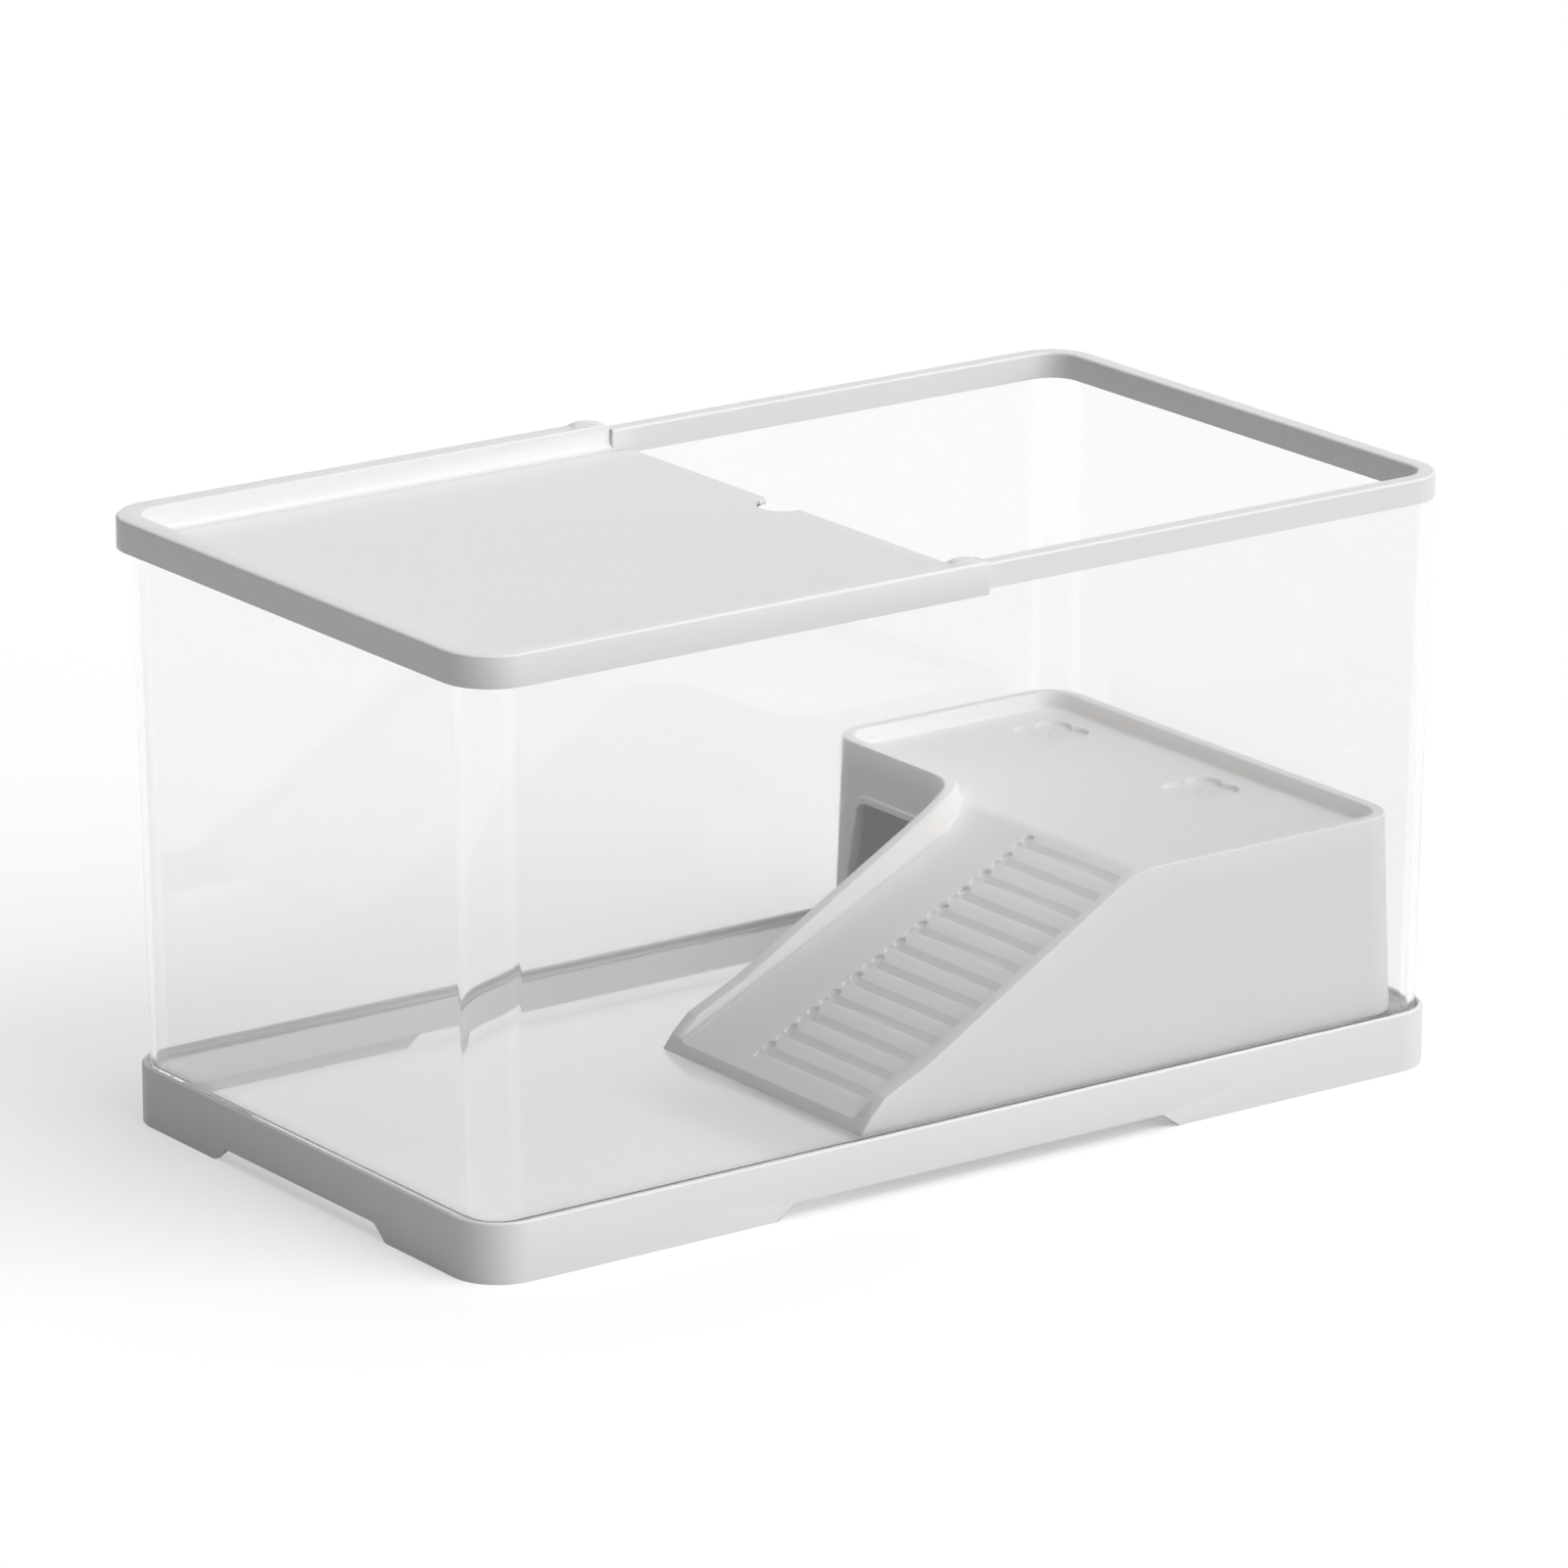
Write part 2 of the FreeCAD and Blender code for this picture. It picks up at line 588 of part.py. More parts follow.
# humps on top of the rails beside their ends
rail_inner_y = "rim_half_y - tongue_in - fit_gap - lid_inner_wall"
for tag, sign, shift in (("front", -1, "lid_inner_round + 0.1 + " + rail_inner_y),
                         ("back", 1, "0 - lid_inner_round - 0.1 - (%s)" % rail_inner_y)):
    hump = new_sketch(lid, "lid_%s_hump" % tag, "XZ_Plane", lift=shift)
    x0, x1 = "0 - hump_end_gap - hump_long", "0 - hump_end_gap"
    sag = number("hump_high")
    half_long = number("hump_long") / 2
    radius = (half_long ** 2 + sag ** 2) / (2 * sag)
    mid = (number(x0) + number(x1)) / 2
    z = number("lid_top - 0.3")
    spread = math.asin(half_long / radius)
    circle = Part.Circle(FreeCAD.Vector(mid, z + sag - radius, 0), FreeCAD.Vector(0, 0, 1), radius)
    hump.addGeometry(Part.ArcOfCircle(circle, math.pi / 2 - spread, math.pi / 2 + spread), False)
    heel, toe = FreeCAD.Vector(number(x0), z, 0), FreeCAD.Vector(number(x1), z, 0)
    hump.addGeometry(Part.LineSegment(heel, toe), False)
    hump.addConstraint(Sketcher.Constraint("Coincident", 0, 2, 1, 1))
    hump.addConstraint(Sketcher.Constraint("Coincident", 1, 2, 0, 1))
    place(hump, 1, 1, "x", x0, "hump_left")
    place(hump, 1, 2, "x", x1, "hump_right")
    place(hump, 1, 1, "y", "lid_top - 0.3", "hump_foot")
    place(hump, 1, 2, "y", "lid_top - 0.3", "hump_heel")
    limit(hump, Sketcher.Constraint("Radius", 0, radius), "hump_r",
          "(hump_long*hump_long/4 + hump_high*hump_high)/(2*hump_high)")
    pad(lid, "lid_%s_hump_block" % tag, hump, "hump_wide", down=(sign > 0))

lid_half_y = number("rim_half_y + lid_proud")
lid_half_x = number("rim_half_x + lid_proud")


def outer_rim(edge):
    """Top edges on the lid's outer face."""
    x, y = reach(edge)
    box = edge.BoundBox
    on_face = y > lid_half_y - 0.05 or x > lid_half_x - 0.05
    return level(edge, lid_top) and on_face and box.XLength + box.YLength > 20


def rail_end(edge):
    """The upright corner of each rail at its end."""
    return upright(edge) and all(abs(v.X) < 0.05 and abs(v.Y) > lid_half_y - 0.05 for v in edge.Vertexes)


soften(lid, "lid_rail_end", rail_end, "rail_end_round")
bevel(lid, "lid_outer_edge", outer_rim, "lid_edge_round")

# basking platform: a hollow shell with a lipped deck, a ramp, a cave opening and grips
outer = new_body("platform_outer")
OUTLINE = [("0 - ramp_foot", "0 - deck_front"), ("deck_right", "0 - deck_front"),
           ("deck_right", "deck_back"), ("deck_left", "deck_back"),
           ("deck_left", "rail_face"), ("0 - ramp_foot", "rail_face")]
block = new_sketch(outer, "platform_outline", lift="lip_level")
polygon(block, OUTLINE)
pad(outer, "platform_block", block, "lip_high", down=True)
lean(outer, "platform_draft", "lip_level", "platform_flare")


def corner_edge(x, y, slack=4.0):
    cx, cy = number(x), number(y)

    def test(edge):
        return upright(edge) and all(abs(v.X - cx) < slack and abs(v.Y - cy) < slack for v in edge.Vertexes)
    return test


CORNERS = [corner_edge("deck_right", "0 - deck_front"), corner_edge("deck_right", "deck_back"),
           corner_edge("deck_left", "deck_back")]
soften(outer, "platform_corner", lambda e: any(test(e) for test in CORNERS), "deck_corner")
soften(outer, "platform_bend", corner_edge("deck_left", "rail_face"), "bend_radius")

trim = new_sketch(outer, "curb_line", "XZ_Plane")
polygon(trim, [("0 - ramp_foot - 5", "floor_level - 1"),
               ("0 - ramp_foot - platform_flare*lip_high", "floor_level - 1"),
               ("nose_step - ramp_foot", "floor_level + nose_high"), ("nose_back - ramp_foot", "nose_top_z"),
               ("0 - curb_break", "curb_break_z"), ("curb_top_x", "lip_level"),
               ("curb_top_x", "lip_level + 5"), ("0 - ramp_foot - 5", "lip_level + 5")])
pocket(outer, "curb_line_cut", trim, "base_deep*2", both=True)


def across(x, z, slack=0.6):
    """Picks the edges that run along Y near a point of the side profile."""
    cx, cz = number(x), number(z)

    def test(edge):
        box = edge.BoundBox
        near = all(abs(v.X - cx) < slack and abs(v.Z - cz) < slack for v in edge.Vertexes)
        return near and box.YLength > 20
    return test


soften(outer, "curb_top_bend", across("curb_top_x", "lip_level"), "curb_round")
soften(outer, "nose_top", across("nose_back - ramp_foot", "nose_top_z"), "nose_round")
soften(outer, "nose_front", across("nose_step - ramp_foot", "floor_level + nose_high"), "nose_round")

# a raised bead round the cave opening, on the drafted left wall
CAVE = [("cave_front", "floor_level"), ("cave_front", "floor_level + cave_high"),
        ("cave_back_top", "floor_level + cave_high"), ("cave_back_low", "floor_level")]


def on_left_wall(body, name, proud):
    sketch = new_sketch(body, name, "YZ_Plane")
    turn = FreeCAD.Rotation(FreeCAD.Vector(1, 0, 0), math.degrees(math.atan(number("platform_flare"))))
    sketch.AttachmentOffset = FreeCAD.Placement(FreeCAD.Vector(0, 0, 0), turn)
    tie(sketch, "AttachmentOffset.Base.z", "deck_left - platform_flare*lip_level - (%s)" % proud)
    tie(sketch, "AttachmentOffset.Rotation.Angle", "atan(platform_flare)")
    return sketch


bead = on_left_wall(outer, "cave_bead", "bead_proud")
polygon(bead, [("cave_front - bead_wide", "floor_level + bead_lift"),
               ("cave_front - bead_wide", "floor_level + cave_high + bead_wide"),
               ("cave_back_top + bead_wide", "floor_level + cave_high + bead_wide"),
               ("cave_back_low + bead_wide", "floor_level + bead_lift")])
pad(outer, "cave_bead_block", bead, "bead_proud + shell_wall/2")


def along_x(y, z, slack=1.2):
    cy, cz = number(y), number(z)

    def test(edge):
        box = edge.BoundBox
        near = all(abs(v.Y - cy) < slack and abs(v.Z - cz) < slack for v in edge.Vertexes)
        return near and box.XLength > 0.5 and box.YLength < 0.6 and box.ZLength < 0.6
    return test


BEAD_TOP = [along_x("cave_front - bead_wide", "floor_level + cave_high + bead_wide"),
            along_x("cave_back_top + bead_wide", "floor_level + cave_high + bead_wide")]
soften(outer, "bead_corner", lambda e: any(test(e) for test in BEAD_TOP), "cave_corner + bead_wide")


def inset(less):
    """The platform's outline set in by one wall or lip."""
    left, right = "%s - ramp_foot" % less, "deck_right - %s" % less
    front, back = "%s - deck_front" % less, "deck_back - %s" % less
    wall, rail = "deck_left + %s" % less, "rail_face - %s" % less
    return [(left, front), (right, front), (right, back), (wall, back), (wall, rail), (left, rail)]


def inner_corners(less):
    return [corner_edge("deck_right - %s" % less, "%s - deck_front" % less),
            corner_edge("deck_right - %s" % less, "deck_back - %s" % less),
            corner_edge("deck_left + %s" % less, "deck_back - %s" % less)]


# the space above the deck and the ramp, between the lips and curbs
above = new_body("deck_space")
room = new_sketch(above, "deck_room", lift="lip_level + 10")
walls = inset("lip_wide")
walls[0] = ("0 - ramp_foot - 20", walls[0][1])
walls[5] = ("0 - ramp_foot - 20", walls[5][1])
polygon(room, walls)
pad(above, "deck_room_block", room, "lip_high + 10", down=True)
deck_corners = inner_corners("lip_wide")
soften(above, "deck_room_corner", lambda e: any(test(e) for test in deck_corners), "deck_corner - lip_wide")
soften(above, "deck_room_bend", corner_edge("deck_left + lip_wide", "rail_face - lip_wide"),
       "bend_radius + lip_wide")
surface = new_sketch(above, "walk_line", "XZ_Plane")
far_left = "0 - ramp_foot - 25"
drop = "ramp_slope*(deck_left + ramp_foot + 25)"
polygon(surface, [(far_left, "0"), ("deck_right + 20", "0"), ("deck_right + 20", "deck_level"),
                  ("deck_left", "deck_level"), (far_left, "deck_level - " + drop)])
pocket(above, "walk_line_cut", surface, "base_deep*2", both=True)
soften(above, "crest", across("deck_left", "deck_level"), "crest_round")
deck_z = number("deck_level")
crest_x = number("deck_left + lip_wide") - 0.1


def deck_border(edge):
    box = edge.BoundBox
    beside_wall = box.XMin > crest_x or box.XLength > 20
    return level(edge, deck_z) and beside_wall


bevel(above, "deck_cove", deck_border, "deck_cove")

# the space under the deck and the ramp, open at the floor
below = new_body("under_space")
cavity = new_sketch(below, "under_outline", lift="lip_level")
polygon(cavity, inset("shell_wall"))
pad(below, "under_block", cavity, "lip_high + 2", down=True)
lean(below, "under_draft", "lip_level", "platform_flare")
under_corners = inner_corners("shell_wall")
soften(below, "under_corner", lambda e: any(test(e) for test in under_corners), "deck_corner - shell_wall")
soften(below, "under_bend", corner_edge("deck_left + shell_wall", "rail_face - shell_wall"),
       "bend_radius + shell_wall")
ceiling = new_sketch(below, "ceiling_line", "XZ_Plane")
polygon(ceiling, [(far_left, "lip_level + 5"), ("deck_right + 20", "lip_level + 5"),
                  ("deck_right + 20", "deck_level - shell_wall"), ("deck_left", "deck_level - shell_wall"),
                  (far_left, "deck_level - shell_wall - " + drop)])
pocket(below, "ceiling_line_cut", ceiling, "base_deep*2", both=True)

for name, tool in (("deck_space_cut", above), ("under_space_cut", below)):
    feature = outer.newObject("PartDesign::Boolean", name)
    feature.setObjects([tool])
    feature.Type = "Cut"
    doc.recompute()

opening = on_left_wall(outer, "cave_opening", "bead_proud + 10")
polygon(opening, [("cave_front", "floor_level - 5")] + CAVE[1:3] +
        [("cave_back_low + 5*(cave_back_low - cave_back_top)/cave_high", "floor_level - 5")])
pocket(outer, "cave_opening_cut", opening, "shell_wall + 20", up=True)
CAVE_TOP = [along_x("cave_front", "floor_level + cave_high"),
            along_x("cave_back_top", "floor_level + cave_high")]
soften(outer, "cave_opening_corner", lambda e: any(test(e) for test in CAVE_TOP), "cave_corner")

lip_z = number("lip_level")
inner_right = number("deck_right - lip_wide")


def inner_lip(edge):
    """The straight inner top edge of the right lip; the rest of the loop is tangent to it."""
    return level(edge, lip_z, 0.05) and all(abs(v.X - inner_right) < 0.05 for v in edge.Vertexes)


bevel(outer, "inner_lip_edge", inner_lip, "lip_edge_round")

# grip cuts: grooves across the ramp, each with a two-lobed head, and two dishes in the deck
tools = []
tilt = "atan(ramp_slope)"
walk = "(deck_level - ramp_slope*(deck_left - (%s)))"


def on_ramp(obj, along, lift, slide="0"):
    """Puts a tool on the ramp: its foot point, its height above the surface, its shift up the slope."""
    tie(obj, "Placement.Base.x", "%s - sin(%s)*(%s) + cos(%s)*(%s)" % (along, tilt, lift, tilt, slide))
    height = walk % along + " + cos(%s)*(%s) + sin(%s)*(%s)" % (tilt, lift, tilt, slide)
    tie(obj, "Placement.Base.z", height)


# each groove is a shallow notch: a long face that dips down the slope and a short wall to stop claws
lean_cos, lean_sin = "cos(groove_tilt*1 deg)", "sin(groove_tilt*1 deg)"
for n in range(GROOVES):
    along = "groove_first - %d*groove_pitch" % n
    bar = doc.addObject("Part::Box", "groove_%02d" % n)
    tie(bar, "Length", "groove_wide*%s" % lean_cos)
    tie(bar, "Width", "groove_end - groove_head")
    tie(bar, "Height", "groove_wide")
    bar.Placement = FreeCAD.Placement(FreeCAD.Vector(0, 0, 0), FreeCAD.Rotation(FreeCAD.Vector(0, -1, 0), 40))
    tie(bar, "Placement.Rotation.Angle", "%s + groove_tilt*1 deg" % tilt)
    on_ramp(bar, along, "0 - groove_wide*%s*%s" % (lean_cos, lean_sin),
            "groove_wide/2 - groove_wide*%s*%s" % (lean_cos, lean_cos))
    tie(bar, "Placement.Base.y", "0 - groove_end")
    tools.append(bar)
    for side, slide in (("upper", "knob_spread"), ("lower", "0 - knob_spread")):
        knob = doc.addObject("Part::Cylinder", "knob_%s_%02d" % (side, n))
        tie(knob, "Radius", "knob_radius")
        tie(knob, "Height", "knob_deep + 3")
        turn = FreeCAD.Rotation(FreeCAD.Vector(0, -1, 0), 20)
        knob.Placement = FreeCAD.Placement(FreeCAD.Vector(0, 0, 0), turn)
        tie(knob, "Placement.Rotation.Angle", tilt)
        on_ramp(knob, along, "0 - knob_deep", slide)
        tie(knob, "Placement.Base.y", "0 - groove_head")
        tools.append(knob)

for name, centre in (("back", "back_dish"), ("front", "0 - front_dish")):
    for k in range(LOBES):
        lobe = doc.addObject("Part::Cylinder", "dish_%s_%d" % (name, k))
        tie(lobe, "Radius", "dish_radius")
        tie(lobe, "Height", "dish_deep + 2")
        tie(lobe, "Placement.Base.x", "dish_column + dish_spread*cos(%d deg)" % (90 * k + 45))
        tie(lobe, "Placement.Base.y", centre + " + dish_spread*sin(%d deg)" % (90 * k + 45))
        tie(lobe, "Placement.Base.z", "deck_level - dish_deep")
        tools.append(lobe)
doc.recompute()

grips = doc.addObject("Part::MultiFuse", "grip_tools")
grips.Shapes = tools
platform = doc.addObject("Part::Cut", "basking_platform")
platform.Base = outer
platform.Tool = grips
platform.Label = "basking_platform"
doc.recompute()

# The row's origin is the middle of the whole object's footprint. The lid reaches past the rim,
# so every piece moves along X by half the difference.
NODES = [base, tank, rim, lid, platform]
for node in NODES:
    node.Placement = FreeCAD.Placement(FreeCAD.Vector(0, 0, 0), FreeCAD.Rotation(0, 0, 0))
    tie(node, "Placement.Base.x", "lid_proud/2")
doc.recompute()

for obj in doc.Objects:
    if "Invalid" in obj.State or "Error" in obj.State:
        raise RuntimeError("%s is not built: %s" % (obj.Name, obj.State))
os.makedirs("parts", exist_ok=True)
for node in NODES:
    shape = node.Shape
    if shape.isNull() or not shape.isValid():
        raise RuntimeError("%s has no valid shape" % node.Label)
    shape.exportStep("parts/%s.step" % node.Label)
    print(node.Label, len(shape.Solids), round(shape.Volume))
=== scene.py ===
# %% [markdown]
# A turtle tank: a clear tank on a white base frame, a white rim and half lid on its mouth, and a
# warm white basking platform inside. The imported parts are loaded first, because every size and place
# comes from them, and the swept pieces print their reach beside the imported part's box.

# %% Load the parts
import bmesh
import bpy
import math
from mathutils import Matrix, Vector


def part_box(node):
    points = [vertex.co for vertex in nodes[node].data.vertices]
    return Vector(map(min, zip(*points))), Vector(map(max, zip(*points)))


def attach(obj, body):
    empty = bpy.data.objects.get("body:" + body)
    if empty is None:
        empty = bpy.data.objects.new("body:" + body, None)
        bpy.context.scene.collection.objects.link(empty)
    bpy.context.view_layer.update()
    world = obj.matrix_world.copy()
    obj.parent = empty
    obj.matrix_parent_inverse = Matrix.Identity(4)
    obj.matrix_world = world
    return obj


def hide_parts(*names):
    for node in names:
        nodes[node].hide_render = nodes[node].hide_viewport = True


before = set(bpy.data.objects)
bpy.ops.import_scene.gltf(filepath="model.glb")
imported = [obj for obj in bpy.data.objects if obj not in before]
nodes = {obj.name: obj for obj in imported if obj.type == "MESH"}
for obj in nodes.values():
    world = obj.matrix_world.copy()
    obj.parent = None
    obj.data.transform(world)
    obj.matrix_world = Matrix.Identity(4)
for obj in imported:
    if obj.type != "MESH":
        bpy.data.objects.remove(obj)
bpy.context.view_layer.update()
print("parts:", sorted(nodes))

# %% [markdown]
# The camera stands low and far off to the front left, with a long lens, so the tank's edges stay
# nearly parallel. Its place, turn, rise and lens were worked out from the tank's own straight edges,
# so they are plain numbers in metres, degrees and millimetres.

# %% Camera
CAMERA_PLACE = Vector((-1.7690, -2.4542, 1.0231))
CAMERA_TURN = math.radians(35.784)
CAMERA_RISE = math.radians(16.807)
CAMERA_LENS = 213.43
CAMERA_SENSOR = 36.0
CAMERA_REACH = 50.0


def add_object(name, data):
    """A new object in the scene that carries a mesh, a camera or a light."""
    thing = bpy.data.objects.new(name, data)
    bpy.context.scene.collection.objects.link(thing)
    return thing


def add_camera():
    """Builds the camera from its turn about the upright and its rise above the horizon."""
    away = Vector((-math.sin(CAMERA_TURN) * math.cos(CAMERA_RISE),
                   -math.cos(CAMERA_TURN) * math.cos(CAMERA_RISE), math.sin(CAMERA_RISE)))
    right = Vector((0, 0, 1)).cross(away).normalized()
    up = away.cross(right)
    data = bpy.data.cameras.new("camera")
    data.lens = CAMERA_LENS
    data.sensor_width = CAMERA_SENSOR
    data.clip_end = CAMERA_REACH
    camera = add_object("camera", data)
    turn = Matrix((right, up, away)).transposed().to_4x4()
    camera.matrix_world = Matrix.Translation(CAMERA_PLACE) @ turn
    bpy.context.scene.camera = camera
    return camera


camera = add_camera()
print("camera at", tuple(round(c, 3) for c in camera.location))

# %% [markdown]
# The light is a plain soft studio. A wide soft key sun stands at the front right, so the front is
# bright and the left end lies in gentle shade, and a wide one overhead lights the lid and, through
# the open half, the platform's deck. Suns light the whole floor evenly, where nearby lamps would fade
# with distance. The surround fills the shade a little and looks plain white to the camera.

# %% Surround and suns
FILL_LEVEL = 0.20
KEY_FROM = Vector((0.34, -0.66, 0.44))
KEY_LEVEL = 0.73
KEY_WIDTH = math.radians(65)
TOP_FROM = Vector((0.10, -0.12, 1.0))
TOP_LEVEL = 0.35
TOP_WIDTH = math.radians(70)


def math_node(tree, operation, *values):
    """One Math node, fed by sockets or plain numbers."""
    node = tree.nodes.new("ShaderNodeMath")
    node.operation = operation
    for socket, value in zip(node.inputs, values):
        if isinstance(value, bpy.types.NodeSocket):
            tree.links.new(value, socket)
        else:
            socket.default_value = value
    return node.outputs[0]


def camera_sees(tree):
    """One for camera rays, for what shows through the clear walls and for reflections, else nought."""
    path = tree.nodes.new("ShaderNodeLightPath")
    seen = path.outputs["Is Camera Ray"]
    for ray in ("Is Transmission Ray", "Is Glossy Ray"):
        seen = math_node(tree, "MAXIMUM", seen, path.outputs[ray])
    return seen


def seen_or_not(tree, seen_value, other_value):
    """One value for what the camera sees, another for the rays that only carry light."""
    level = tree.nodes.new("ShaderNodeMapRange")
    level.inputs["To Min"].default_value = other_value
    level.inputs["To Max"].default_value = seen_value
    tree.links.new(camera_sees(tree), level.inputs["Value"])
    return level.outputs["Result"]


def add_surround():
    world = bpy.data.worlds.new("surround")
    bpy.context.scene.world = world
    world.use_nodes = True
    tree = world.node_tree
    tree.nodes.clear()
    light = tree.nodes.new("ShaderNodeBackground")
    light.inputs["Color"].default_value = (1, 1, 1, 1)
    tree.links.new(seen_or_not(tree, 1.0, FILL_LEVEL), light.inputs["Strength"])
    out = tree.nodes.new("ShaderNodeOutputWorld")
    tree.links.new(light.outputs[0], out.inputs["Surface"])


def add_sun(name, toward, level, width):
    """The level is how bright a white face turned squarely to the sun would be.

    Only shadow rays look for the suns, so the clear walls can dim them and not the surround.
    """
    data = bpy.data.lights.new(name, "SUN")
    data.energy = level * math.pi
    data.angle = width
    data.cycles.use_multiple_importance_sampling = False
    sun = add_object(name, data)
    sun.rotation_euler = toward.normalized().to_track_quat("Z", "Y").to_euler()
    print(name, "level", level, "width", round(math.degrees(width)), "degrees")


add_surround()
add_sun("key_sun", KEY_FROM, KEY_LEVEL, KEY_WIDTH)
add_sun("top_sun", TOP_FROM, TOP_LEVEL, TOP_WIDTH)
bpy.context.scene.view_settings.view_transform = "Standard"

# %% [markdown]
# The floor is a wide pale sheet. To the camera it glows a little, so that it reads as a white
# backdrop but keeps the object's soft shadow. To bounced light it is greyer, because a white floor
# would throw too much light up at the shaded end.

# %% Floor
FLOOR_SIDE = 12.0
FLOOR_SEEN = 0.66
FLOOR_GLOW = 0.40
FLOOR_BOUNCE = 0.52
FLOOR_ROUGH = 0.9


def new_paint(name):
    """A new material with its node tree and its main shader."""
    paint = bpy.data.materials.new(name)
    paint.use_nodes = True
    return paint, paint.node_tree, paint.node_tree.nodes["Principled BSDF"]


def add_floor():
    half = FLOOR_SIDE / 2
    corners = [(-half, -half, 0), (half, -half, 0), (half, half, 0), (-half, half, 0)]
    mesh = bpy.data.meshes.new("floor")
    mesh.from_pydata(corners, [], [(0, 1, 2, 3)])
    floor = add_object("floor", mesh)
    paint, tree, paper = new_paint("floor_paper")
    paper.inputs["Roughness"].default_value = FLOOR_ROUGH
    paper.inputs["Specular IOR Level"].default_value = 0.0
    tree.links.new(seen_or_not(tree, FLOOR_SEEN, FLOOR_BOUNCE), paper.inputs["Base Color"])
    paper.inputs["Emission Color"].default_value = (1, 1, 1, 1)
    tree.links.new(seen_or_not(tree, FLOOR_GLOW, 0.0), paper.inputs["Emission Strength"])
    mesh.materials.append(paint)
    return floor


print("floor:", add_floor().name, FLOOR_SIDE, "m wide")

# %% [markdown]
# Moulded plastic is never quite flat: it has a faint orange-peel ripple and small shifts in gloss and
# shade. One node group makes all three from two noises, so both opaque plastics can use it with their
# own scale and depth, and a change to it reaches both.

# %% Moulded grain group
RIPPLE_DETAIL = 3.0
RIPPLE_HEIGHT = 0.0002
BROAD_SCALE = 14.0
BROAD_DETAIL = 2.0


def new_group(name, inputs, outputs):
    """An empty shader node group with named number inputs, and its two end nodes."""
    group = bpy.data.node_groups.new(name, "ShaderNodeTree")
    for title, value in inputs:
        socket = group.interface.new_socket(title, in_out="INPUT", socket_type="NodeSocketFloat")
        socket.default_value = value
    for title, kind in outputs:
        group.interface.new_socket(title, in_out="OUTPUT", socket_type="NodeSocket" + kind)
    return group, group.nodes.new("NodeGroupInput"), group.nodes.new("NodeGroupOutput")


def moulded_grain():
    group, start, end = new_group(
        "moulded_grain", (("Scale", 400.0), ("Depth", 0.1), ("Gloss", 0.3), ("Spread", 0.06)),
        (("Normal", "Vector"), ("Roughness", "Float"), ("Shade", "Float")))
    new, link = group.nodes.new, group.links.new
    place = new("ShaderNodeTexCoord")
    fine = new("ShaderNodeTexNoise")
    fine.inputs["Detail"].default_value = RIPPLE_DETAIL
    link(place.outputs["Object"], fine.inputs["Vector"])
    link(start.outputs["Scale"], fine.inputs["Scale"])
    broad = new("ShaderNodeTexNoise")
    broad.inputs["Scale"].default_value = BROAD_SCALE
    broad.inputs["Detail"].default_value = BROAD_DETAIL
    link(place.outputs["Object"], broad.inputs["Vector"])
    bump = new("ShaderNodeBump")
    bump.inputs["Distance"].default_value = RIPPLE_HEIGHT
    link(start.outputs["Depth"], bump.inputs["Strength"])
    link(fine.outputs["Fac"], bump.inputs["Height"])
    link(bump.outputs["Normal"], end.inputs["Normal"])
    shift = math_node(group, "SUBTRACT", broad.outputs["Fac"], 0.5)
    gloss = math_node(group, "MULTIPLY_ADD", shift, start.outputs["Spread"], start.outputs["Gloss"])
    link(gloss, end.inputs["Roughness"])
    link(broad.outputs["Fac"], end.inputs["Shade"])
    return group


GRAIN = moulded_grain()
print("group:", GRAIN.name)

# %% [markdown]
# A tank that is lifted, wiped and stacked picks up very fine hairline scuffs. They are too thin to see
# as lines from here, but they break up the gloss. Noise that is stretched along a direction gives
# streaks. Two directions are laid over each other, and only the noise's peaks count, so the scuffs lie
# in patches as real wear does.

# %% Hairline scuffs group
SCUFF_AXIS = (0.3, 0.2, 0.93)
SCUFF_TURNS = (0.35, -0.9)
SCUFF_DETAIL = 2.0
SCUFF_PEAKS = (0.52, 0.72)


def scuff_streaks(group, start, place, turn):
    """Peaks of a noise that is stretched along one turned direction."""
    new, link = group.nodes.new, group.links.new
    spin = new("ShaderNodeVectorRotate")
    spin.inputs["Axis"].default_value = SCUFF_AXIS
    spin.inputs["Angle"].default_value = turn
    link(place.outputs["Object"], spin.inputs["Vector"])
    sizes = new("ShaderNodeCombineXYZ")
    for axis, size in (("X", "Length"), ("Y", "Fineness"), ("Z", "Length")):
        link(start.outputs[size], sizes.inputs[axis])
    stretch = new("ShaderNodeVectorMath")
    stretch.operation = "MULTIPLY"
    link(spin.outputs["Vector"], stretch.inputs[0])
    link(sizes.outputs["Vector"], stretch.inputs[1])
    noise = new("ShaderNodeTexNoise")
    noise.inputs["Scale"].default_value = 1.0
    noise.inputs["Detail"].default_value = SCUFF_DETAIL
    link(stretch.outputs["Vector"], noise.inputs["Vector"])
    keep = new("ShaderNodeMapRange")
    keep.inputs["From Min"].default_value = SCUFF_PEAKS[0]
    keep.inputs["From Max"].default_value = SCUFF_PEAKS[1]
    link(noise.outputs["Fac"], keep.inputs["Value"])
    return keep.outputs["Result"]


def hairline_scuffs():
    group, start, end = new_group(
        "hairline_scuffs", (("Length", 18.0), ("Fineness", 900.0), ("Amount", 0.1)),
        (("Mask", "Float"),))
    place = group.nodes.new("ShaderNodeTexCoord")
    streaks = [scuff_streaks(group, start, place, turn) for turn in SCUFF_TURNS]
    most = math_node(group, "MAXIMUM", *streaks)
    amount = math_node(group, "MULTIPLY", most, start.outputs["Amount"])
    group.links.new(amount, end.inputs["Mask"])
    return group


SCUFFS = hairline_scuffs()
print("group:", SCUFFS.name)

